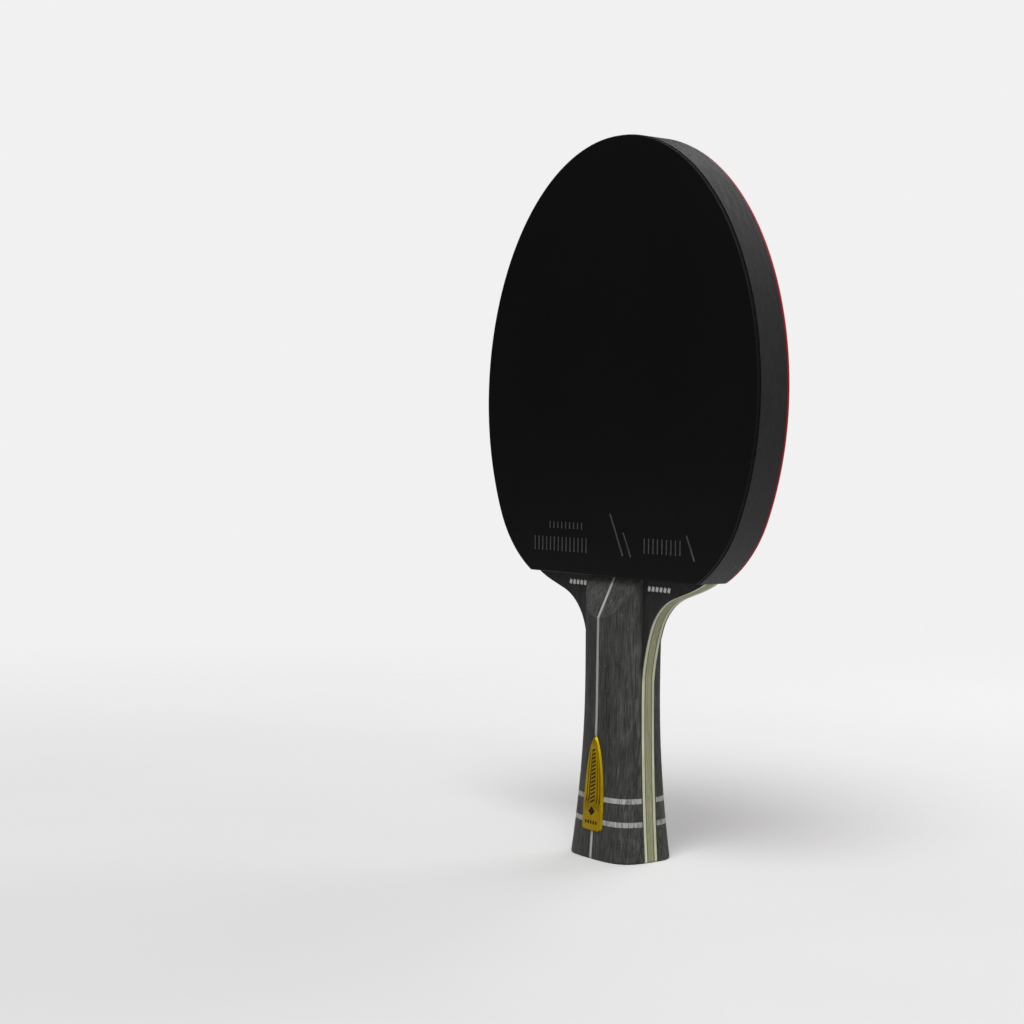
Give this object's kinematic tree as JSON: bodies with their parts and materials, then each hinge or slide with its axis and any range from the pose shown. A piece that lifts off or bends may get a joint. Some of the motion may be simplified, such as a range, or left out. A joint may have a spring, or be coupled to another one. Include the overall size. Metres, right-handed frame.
{
  "type": "table tennis paddle",
  "caption": "Shakehand table tennis paddle with a laminated blade, smooth rubber on both faces and a flared dark wood handle with pale inlays and a gold lens badge.",
  "frame": {"origin": "centre of the handle's flat butt face", "axes": "+Z from the butt to the crown of the head, +X to the right when the front face is seen, -Y out of the front (black) face"},
  "size_m": [0.1504, 0.0275, 0.2573],
  "materials": {
    "core_wood": "raw light hardwood, tan",
    "carbon_weave": "resin-bonded woven carbon and aramid, dark olive",
    "inner_veneer": "raw pale veneer, cream",
    "dyed_face_veneer": "dyed charcoal veneer, matt sealed",
    "handle_wood": "dyed dark grey wood, fine straight grain, satin",
    "pale_stripe": "pale grey veneer strip, satin",
    "flecked_band": "whitish flecked veneer, satin",
    "gold_badge": "struck gold-coloured metal, soft gloss",
    "adhesive": "dark double-sided adhesive",
    "black_rubber": "smooth black high-grip rubber, satin",
    "red_rubber": "smooth red high-grip rubber, satin",
    "sponge": "fine cell sponge, dark grey",
    "edge_tape": "thin black edge tape, matt weave"
  },
  "bodies": {
    "root": {"core_ply": "core_wood", "front_carbon_ply": "carbon_weave", "front_inner_veneer": "inner_veneer", "front_face_veneer": "dyed_face_veneer", "back_carbon_ply": "carbon_weave", "back_inner_veneer": "inner_veneer", "back_face_veneer": "dyed_face_veneer", "front_butt_left_block": "handle_wood", "front_butt_right_block": "handle_wood", "front_butt_stripe": "pale_stripe", "front_spacer_left_block": "handle_wood", "front_spacer_right_block": "handle_wood", "front_spacer_stripe": "pale_stripe", "front_grip_left_block": "handle_wood", "front_grip_right_block": "handle_wood", "front_grip_stripe": "pale_stripe", "front_lower_band": "flecked_band", "front_upper_band": "flecked_band", "back_butt_left_block": "handle_wood", "back_butt_right_block": "handle_wood", "back_butt_stripe": "pale_stripe", "back_spacer_left_block": "handle_wood", "back_spacer_right_block": "handle_wood", "back_spacer_stripe": "pale_stripe", "back_grip_left_block": "handle_wood", "back_grip_right_block": "handle_wood", "back_grip_stripe": "pale_stripe", "back_lower_band": "flecked_band", "back_upper_band": "flecked_band", "badge": "gold_badge", "badge_adhesive_pad": "adhesive", "front_sponge": "sponge", "front_pips": "black_rubber", "front_topsheet": "black_rubber", "back_sponge": "sponge", "back_pips": "red_rubber", "back_topsheet": "red_rubber", "edge_tape": "edge_tape"}
  },
  "joints": []
}
